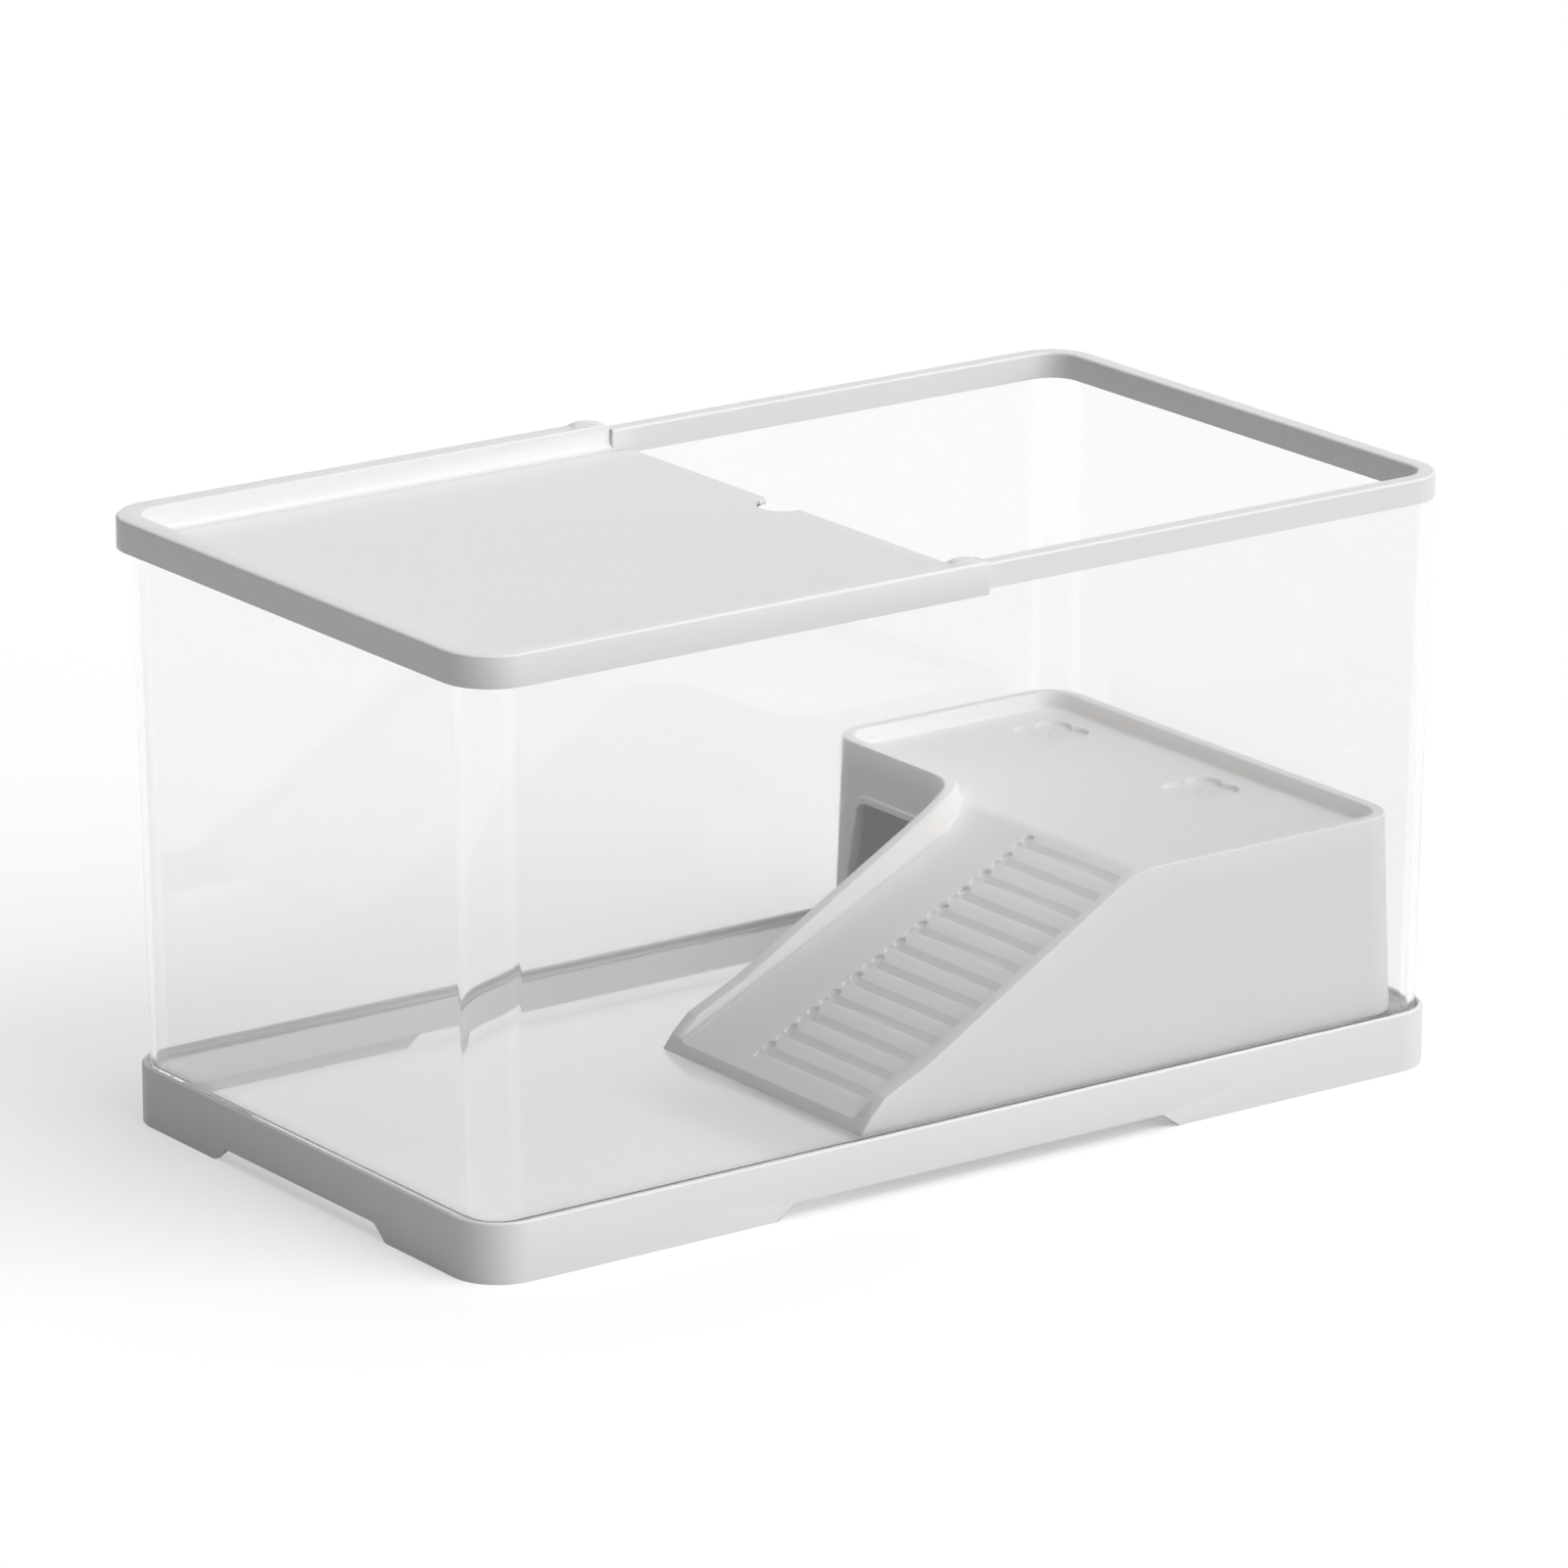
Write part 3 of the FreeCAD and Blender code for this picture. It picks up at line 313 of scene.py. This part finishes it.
# %% [markdown]
# Two opaque plastics are used. The base, rim and lid are glossy white, as polished moulds leave them.
# The platform is a warmer white with a fine matt grain, so that a turtle can grip it, and light goes a
# little way into it. Both are mixed from the same two groups, and only their numbers differ.

# %% Opaque plastics
PLASTIC_IOR = 1.5
GLOSS_SPREAD = 0.08
DEEP_SHARE = 0.45
DEEP_COLOURS = (1.0, 0.92, 0.86)


def group_node(tree, group, values):
    """A node that uses a group, with some of its inputs set."""
    node = tree.nodes.new("ShaderNodeGroup")
    node.node_tree = group
    for socket, value in values.items():
        node.inputs[socket].default_value = value
    return node


def two_tone(tree, first, second, factor):
    """A mix of two colours by a factor socket."""
    tint = tree.nodes.new("ShaderNodeMix")
    tint.data_type = "RGBA"
    tint.inputs["A"].default_value = (*first, 1)
    tint.inputs["B"].default_value = (*second, 1)
    tree.links.new(factor, tint.inputs["Factor"])
    return tint.outputs["Result"]


def opaque_plastic(name, light, dark, gloss, grain_scale, grain_depth, scuff, glow_deep=0.0):
    """A moulded plastic between two close colours, with the moulded grain and scuffs."""
    paint, tree, shader = new_paint(name)
    grain = group_node(tree, GRAIN, {"Scale": grain_scale, "Depth": grain_depth, "Gloss": gloss,
                                     "Spread": GLOSS_SPREAD})
    wear = group_node(tree, SCUFFS, {"Amount": scuff})
    colour = two_tone(tree, dark, light, grain.outputs["Shade"])
    rough = math_node(tree, "ADD", grain.outputs["Roughness"], wear.outputs["Mask"])
    tree.links.new(colour, shader.inputs["Base Color"])
    tree.links.new(rough, shader.inputs["Roughness"])
    tree.links.new(grain.outputs["Normal"], shader.inputs["Normal"])
    shader.inputs["IOR"].default_value = PLASTIC_IOR
    if glow_deep > 0:
        shader.inputs["Subsurface Weight"].default_value = DEEP_SHARE
        shader.inputs["Subsurface Radius"].default_value = DEEP_COLOURS
        shader.inputs["Subsurface Scale"].default_value = glow_deep
    return paint


glossy_white = opaque_plastic(
    "glossy_white", light=(0.745, 0.745, 0.755), dark=(0.72, 0.72, 0.73),
    gloss=0.36, grain_scale=500.0, grain_depth=0.12, scuff=0.12)
matt_warm_white = opaque_plastic(
    "matt_warm_white", light=(0.93, 0.905, 0.885), dark=(0.90, 0.875, 0.855),
    gloss=0.5, grain_scale=900.0, grain_depth=0.3, scuff=0.08, glow_deep=0.006)
print("plastics:", glossy_white.name, matt_warm_white.name)

# %% [markdown]
# The clear tank is polished plastic. Light has to reach what stands inside it, and a path tracer
# would need very many samples to find it through the walls, so shadow and bounce rays pass straight
# through a faint tint, and so does a ray that has crossed many walls already. The camera sees the
# true refraction. Where a flat wall turns into a round corner the plastic gathers light and shows a
# white streak. That highlight is painted: a mask made from the tank's own coordinates turns the tint
# to white along those lines.

# %% Clear plastic
CLEAR_TINT = (0.948, 0.955, 0.963)
CLEAR_IOR = 1.49
CLEAR_ROUGH = 0.01
CLEAR_SCUFF = 0.05
SUN_PASS = 0.80
BOUNCE_PASS = 0.995
MOST_CROSSINGS = 4
TANK_FLARE = 0.01648
# Where the painted white corner highlight lies on each side, how wide it is, and how much of it covers
# the round corner.
HIGHLIGHT_FROM = {"X": 0.1845, "Y": 0.0946}
HIGHLIGHT_HALF = (0.0012, 0.0024)
CORNER_HIGHLIGHT = 0.55
tank_low, tank_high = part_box("clear_tank")
tank_middle = (tank_low[0] + tank_high[0]) / 2


def corner_highlights(tree):
    """Painted highlight: one where a flat wall turns into a round corner, about half in the corner, else
    nought.
    """
    place = tree.nodes.new("ShaderNodeTexCoord")
    centred = tree.nodes.new("ShaderNodeMapping")
    centred.inputs["Location"].default_value = (-tank_middle, 0, 0)
    tree.links.new(place.outputs["Object"], centred.inputs["Vector"])
    split = tree.nodes.new("ShaderNodeSeparateXYZ")
    tree.links.new(centred.outputs["Vector"], split.inputs[0])
    lean = math_node(tree, "MULTIPLY", split.outputs["Z"], TANK_FLARE)
    near, beyond = {}, {}
    for axis, start in HIGHLIGHT_FROM.items():
        out = math_node(tree, "SUBTRACT", math_node(tree, "ABSOLUTE", split.outputs[axis]), lean)
        beyond[axis] = math_node(tree, "GREATER_THAN", out, start - HIGHLIGHT_HALF[1])
        fade = tree.nodes.new("ShaderNodeMapRange")
        fade.interpolation_type = "SMOOTHSTEP"
        fade.inputs["From Min"].default_value = HIGHLIGHT_HALF[1]
        fade.inputs["From Max"].default_value = HIGHLIGHT_HALF[0]
        away = math_node(tree, "ABSOLUTE", math_node(tree, "SUBTRACT", out, start))
        tree.links.new(away, fade.inputs["Value"])
        near[axis] = fade.outputs["Result"]
    long_side = math_node(tree, "MULTIPLY", near["X"], beyond["Y"])
    short_side = math_node(tree, "MULTIPLY", near["Y"], beyond["X"])
    streaks = math_node(tree, "MAXIMUM", long_side, short_side)
    corner = math_node(tree, "MULTIPLY", beyond["X"], beyond["Y"])
    return math_node(tree, "MAXIMUM", streaks, math_node(tree, "MULTIPLY", corner, CORNER_HIGHLIGHT))


def clear_plastic():
    paint, tree, shader = new_paint("polished_clear")
    # Painted highlight: the tint turns to white where the corner mask is one.
    colour = two_tone(tree, CLEAR_TINT, (1, 1, 1), corner_highlights(tree))
    tree.links.new(colour, shader.inputs["Base Color"])
    wear = group_node(tree, SCUFFS, {"Amount": CLEAR_SCUFF})
    rough = math_node(tree, "ADD", wear.outputs["Mask"], CLEAR_ROUGH)
    tree.links.new(rough, shader.inputs["Roughness"])
    shader.inputs["IOR"].default_value = CLEAR_IOR
    shader.inputs["Transmission Weight"].default_value = 1.0
    path = tree.nodes.new("ShaderNodeLightPath")
    dimming = math_node(tree, "MULTIPLY", path.outputs["Is Shadow Ray"], BOUNCE_PASS - SUN_PASS)
    through = tree.nodes.new("ShaderNodeBsdfTransparent")
    tree.links.new(math_node(tree, "SUBTRACT", BOUNCE_PASS, dimming), through.inputs["Color"])
    straight = math_node(tree, "GREATER_THAN", path.outputs["Ray Depth"], MOST_CROSSINGS)
    for ray in ("Is Shadow Ray", "Is Diffuse Ray"):
        straight = math_node(tree, "MAXIMUM", straight, path.outputs[ray])
    mix = tree.nodes.new("ShaderNodeMixShader")
    tree.links.new(straight, mix.inputs["Fac"])
    tree.links.new(shader.outputs[0], mix.inputs[1])
    tree.links.new(through.outputs[0], mix.inputs[2])
    tree.links.new(mix.outputs[0], tree.nodes["Material Output"].inputs["Surface"])
    return paint


polished_clear = clear_plastic()
print("clear plastic:", polished_clear.name, "tank's middle at x", round(tank_middle, 4))

# %% [markdown]
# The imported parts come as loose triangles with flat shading, so a round corner shows its facets. A
# merged copy of each shares its corners and can be shaded smooth up to an angle. The edges were
# bevelled at 45 degrees, and smooth shading with weighted normals makes those bevels read as the
# small moulded radii of the real tank, while the broad faces stay flat. The platform's deck meets its
# ramp at a shallow fold, so its limit is lower and the fold stays crisp.

# %% Smooth shading
BROAD_BEVELS = 50
CRISP_FOLDS = 24
NORMAL_WEIGHT = 80


def plain_mesh(thing):
    """The evaluated shape as a plain mesh."""
    seen = thing.evaluated_get(bpy.context.evaluated_depsgraph_get())
    return bpy.data.meshes.new_from_object(seen)


def smooth_shaded(thing, up_to):
    """Smooth shading up to an angle, with normals that favour the broad faces."""
    mesh = thing.data
    mesh.polygons.foreach_set("use_smooth", [True] * len(mesh.polygons))
    mesh.set_sharp_from_angle(angle=math.radians(up_to))
    weight = thing.modifiers.new("weighted_normals", "WEIGHTED_NORMAL")
    weight.keep_sharp = True
    weight.weight = NORMAL_WEIGHT
    baked = plain_mesh(thing)
    thing.modifiers.clear()
    thing.data = baked


def stand_in(piece, node, paint, slot):
    """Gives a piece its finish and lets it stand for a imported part."""
    piece.data.materials.clear()
    piece.data.materials.append(paint)
    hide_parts(node)
    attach(piece, "root")


print("smooth up to", BROAD_BEVELS, "degrees, and on the platform up to", CRISP_FOLDS)

# %% [markdown]
# No mould leaves an edge quite sharp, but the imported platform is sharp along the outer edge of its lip
# and curbs, so its copy gets a small round there. Coplanar triangles are joined first, so that the
# bevel follows whole faces. The edges are found by what they part: an outer wall that reaches the
# floor, and a face that looks up.

# %% Merged copies
MERGE_WITHIN = 2e-6
FLAT_WITHIN = math.radians(0.3)
SHARP_FROM = math.radians(50)
WALL_LEAN = 0.15
TOP_LEAN = 0.3
NEAR_FLOOR = 0.001
LIP_ROUND = 0.0006
ROUND_STEPS = 3


def outer_top_edges(work, floor_z):
    """Sharp edges where an outer wall, one that reaches the floor, meets what lies on top of it."""
    chosen = []
    for edge in work.edges:
        if len(edge.link_faces) != 2 or not edge.is_convex:
            continue
        for wall, top in (edge.link_faces, reversed(edge.link_faces)):
            foot = min(v.co.z for v in wall.verts)
            parts_them = abs(wall.normal.z) < WALL_LEAN and top.normal.z > TOP_LEAN
            if parts_them and foot < floor_z + NEAR_FLOOR and edge.calc_face_angle() > SHARP_FROM:
                chosen.append(edge)
                break
    return chosen


def merged_copy(node, up_to, outer_round):
    """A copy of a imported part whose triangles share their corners."""
    work = bmesh.new()
    work.from_mesh(nodes[node].data)
    bmesh.ops.remove_doubles(work, verts=work.verts, dist=MERGE_WITHIN)
    if outer_round > 0:
        bmesh.ops.dissolve_limit(work, angle_limit=FLAT_WITHIN, verts=work.verts, edges=work.edges)
        edges = outer_top_edges(work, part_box(node)[0][2])
        bmesh.ops.bevel(work, geom=edges, offset=outer_round, segments=ROUND_STEPS,
                        affect="EDGES", profile=0.5)
        print(node, "edges rounded:", len(edges),
              "open edges:", sum(not edge.is_manifold for edge in work.edges))
    mesh = bpy.data.meshes.new(node + "_skin")
    work.to_mesh(mesh)
    work.free()
    copy = add_object(node + "_skin", mesh)
    smooth_shaded(copy, up_to)
    return copy


for node, up_to, outer_round, paint, slot in (
        ("base_frame", BROAD_BEVELS, 0.0, glossy_white, "white_plastic"),
        ("half_lid", BROAD_BEVELS, 0.0, glossy_white, "white_plastic"),
        ("basking_platform", CRISP_FOLDS, LIP_ROUND, matt_warm_white, "platform_plastic")):
    skin = merged_copy(node, up_to, outer_round)
    stand_in(skin, node, paint, slot)
    print(skin.name, "corners", len(skin.data.vertices), "faces", len(skin.data.polygons))

# %% [markdown]
# The rim and the tank's walls are each one section drawn along a path with round corners, so Geometry
# Nodes can build them from a path and a section. The path is a plain line of four corners. The tree
# turns it into a curve, rounds its corners and sweeps the section along it. Its sizes are named inputs,
# so one tree serves both pieces. It ends in real geometry with its material set.

# %% Sweep tree


def sweep_tree():
    tree = bpy.data.node_groups.new("section_sweep", "GeometryNodeTree")
    for name, kind in (("Path", "Geometry"), ("Section", "Object"), ("Corner radius", "Float"),
                       ("Corner steps", "Int"), ("Finish", "Material")):
        tree.interface.new_socket(name, in_out="INPUT", socket_type="NodeSocket" + kind)
    tree.interface.new_socket("Swept", in_out="OUTPUT", socket_type="NodeSocketGeometry")
    new, link = tree.nodes.new, tree.links.new
    start, end = new("NodeGroupInput"), new("NodeGroupOutput")
    path = new("GeometryNodeMeshToCurve")
    link(start.outputs["Path"], path.inputs["Mesh"])
    bend = new("GeometryNodeFilletCurve")
    bend.mode = "POLY"
    link(path.outputs["Curve"], bend.inputs["Curve"])
    link(start.outputs["Corner radius"], bend.inputs["Radius"])
    link(start.outputs["Corner steps"], bend.inputs["Count"])
    shape = new("GeometryNodeObjectInfo")
    link(start.outputs["Section"], shape.inputs["Object"])
    outline = new("GeometryNodeMeshToCurve")
    link(shape.outputs["Geometry"], outline.inputs["Mesh"])
    sweep = new("GeometryNodeCurveToMesh")
    sweep.inputs["Fill Caps"].default_value = True
    link(bend.outputs["Curve"], sweep.inputs["Curve"])
    link(outline.outputs["Curve"], sweep.inputs["Profile Curve"])
    real = new("GeometryNodeRealizeInstances")
    link(sweep.outputs["Mesh"], real.inputs["Geometry"])
    finish = new("GeometryNodeSetMaterial")
    link(real.outputs["Geometry"], finish.inputs["Geometry"])
    link(start.outputs["Finish"], finish.inputs["Material"])
    link(finish.outputs["Geometry"], end.inputs["Swept"])
    return tree


SWEEP = sweep_tree()
print("sweep inputs:", [item.name for item in SWEEP.interface.items_tree if item.in_out == "INPUT"])

# %% [markdown]
# Each piece gives the tree a path and a section. The section is written the way a mould maker would
# draw it, as points outward from the path and up from it. The curve lays a section's X outward and its
# Y down, so each point's height changes its sign on the way in.

# %% Sweep a section along a path


def line_object(name, points, closed):
    """A chain of corners and edges that the node tree turns into a curve."""
    edges = [(i, i + 1) for i in range(len(points) - 1)]
    if closed:
        edges.append((len(points) - 1, 0))
    mesh = bpy.data.meshes.new(name)
    mesh.from_pydata(points, edges, [])
    return add_object(name, mesh)


def corner_path(low, high, inset=0.0):
    """The four corners of a box's outline at its underside, anticlockwise from the front left."""
    x0, x1, y1, z0 = low[0] + inset, high[0] - inset, high[1] - inset, low[2]
    return [(x0, -y1, z0), (x1, -y1, z0), (x1, y1, z0), (x0, y1, z0)]


def quarter_round(out, up, radius, start, steps=4):
    """Points of a quarter circle about a centre in the section, from a start angle in degrees."""
    turns = [math.radians(start + 90 * k / steps) for k in range(steps + 1)]
    return [(out + radius * math.cos(t), up + radius * math.sin(t)) for t in turns]


def swept_piece(name, path, path_closed, section, section_closed, radius, steps, finish):
    """Sweeps a section of (outward, up) points along a path and leaves a plain mesh."""
    piece = line_object(name, path, path_closed)
    profile = line_object(name + "_section", [(out, -up, 0) for out, up in section], section_closed)
    sweep = piece.modifiers.new("sweep", "NODES")
    sweep.node_group = SWEEP
    values = {"Section": profile, "Corner radius": radius, "Corner steps": steps, "Finish": finish}
    for item in SWEEP.interface.items_tree:
        if item.name in values:
            sweep[item.identifier] = values[item.name]
    swept = plain_mesh(piece)
    piece.modifiers.clear()
    piece.data = swept
    bpy.data.objects.remove(profile)
    return piece


def report_reach(piece, low, high):
    """Prints how far the piece reaches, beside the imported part's box."""
    for axis in range(3):
        reach = [v.co[axis] for v in piece.data.vertices]
        print(piece.name, "xyz"[axis], round(min(reach), 5), round(max(reach), 5),
              "box", round(low[axis], 5), round(high[axis], 5))


# %% [markdown]
# The rim's section is a channel: two legs that straddle the tank's tongue, under a roof with rounded
# edges. Its path starts and ends at the middle of the tank, where it meets the lid, and the upright
# inner corner at each end is softened.

# %% Rim
RIM_WIDE = 0.0062
RIM_CORNER = 0.016857
RIM_ROUND = 0.0009
OUTER_LEG_UP = 0.0005
CHANNEL = (0.00165, 0.00335)
CHANNEL_ROOF = 0.0073
RIM_STEPS = 14
END_ROUND = 0.001
END_STEPS = 4
ON_CORNER = 1e-5
rim_low, rim_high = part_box("top_rim")


def rim_section():
    tall = rim_high[2] - rim_low[2]
    section = [(0, OUTER_LEG_UP)]
    section += quarter_round(-RIM_ROUND, tall - RIM_ROUND, RIM_ROUND, 0)
    section += quarter_round(RIM_ROUND - RIM_WIDE, tall - RIM_ROUND, RIM_ROUND, 90)
    section += [(-RIM_WIDE, 0), (-CHANNEL[1], 0), (-CHANNEL[1], CHANNEL_ROOF),
                (-CHANNEL[0], CHANNEL_ROOF), (-CHANNEL[0], OUTER_LEG_UP)]
    return section


def soften_ends(mesh, end_x, inner_y):
    """Rounds the upright inner corner at each end of the rim."""
    work = bmesh.new()
    work.from_mesh(mesh)
    ends = [edge for edge in work.edges
            if all(abs(v.co.x - end_x) < ON_CORNER and abs(abs(v.co.y) - inner_y) < ON_CORNER
                   for v in edge.verts)]
    bmesh.ops.bevel(work, geom=ends, offset=END_ROUND, segments=END_STEPS, affect="EDGES",
                    profile=0.5)
    bmesh.ops.recalc_face_normals(work, faces=work.faces)
    work.to_mesh(mesh)
    work.free()


rim = swept_piece("rim", corner_path(rim_low, rim_high), False, rim_section(), True,
                  RIM_CORNER, RIM_STEPS, glossy_white)
soften_ends(rim.data, rim_low[0], rim_high[1] - RIM_WIDE)
smooth_shaded(rim, BROAD_BEVELS)
stand_in(rim, "top_rim", glossy_white, "white_plastic")
report_reach(rim, rim_low, rim_high)

# %% [markdown]
# The tank is one clear moulding. Its walls lean out a little, so that it leaves the mould and so that
# empty tanks stack. Its section goes from the underside round the bottom edge, up the outside to the
# shoulder, over the thin tongue, and down the inside to the floor. Clear corners need many fine steps,
# because every facet bends the light. The section stops short of the middle, so the sweep leaves a
# hole under and over the floor, and one flat face fills each.

# %% Tank
FOOT_CORNER = 0.0135
TANK_STEPS = 24
WALL = 0.0025
FLOOR_THICK = 0.0024
BOTTOM_ROUND = 0.0022
INNER_ROUND = 0.0015
SHOULDER_UP = 0.1855
SHOULDER_GROW = TANK_FLARE * SHOULDER_UP
TONGUE_INSET = 0.0015
TONGUE_WALL = 0.0014


def tank_section():
    """Points of the wall, outward from the foot's outline and up from the underside."""
    tall = tank_high[2] - tank_low[2]
    tongue = (SHOULDER_GROW - TONGUE_INSET, SHOULDER_GROW - TONGUE_INSET - TONGUE_WALL)
    section = quarter_round(-BOTTOM_ROUND, BOTTOM_ROUND, BOTTOM_ROUND, 270)
    section += [(SHOULDER_GROW, SHOULDER_UP), (tongue[0], SHOULDER_UP), (tongue[0], tall),
                (tongue[1], tall), (tongue[1], SHOULDER_UP), (SHOULDER_GROW - WALL, SHOULDER_UP)]
    centre = TANK_FLARE * FLOOR_THICK - WALL - INNER_ROUND
    section += reversed(quarter_round(centre, FLOOR_THICK + INNER_ROUND, INNER_ROUND, 270))
    return section


def close_floor(mesh):
    """Fills the open ring under and over the floor, and turns all faces outward."""
    work = bmesh.new()
    work.from_mesh(mesh)
    open_edges = [edge for edge in work.edges if edge.is_boundary]
    bmesh.ops.holes_fill(work, edges=open_edges, sides=0)
    bmesh.ops.recalc_face_normals(work, faces=work.faces)
    left = sum(not edge.is_manifold for edge in work.edges)
    work.to_mesh(mesh)
    work.free()
    print("open edges filled:", len(open_edges), "still open:", left)


tank = swept_piece("tank", corner_path(tank_low, tank_high, SHOULDER_GROW), True, tank_section(),
                   False, FOOT_CORNER, TANK_STEPS, polished_clear)
close_floor(tank.data)
smooth_shaded(tank, CRISP_FOLDS)
stand_in(tank, "clear_tank", polished_clear, "clear_plastic")
report_reach(tank, tank_low, tank_high)
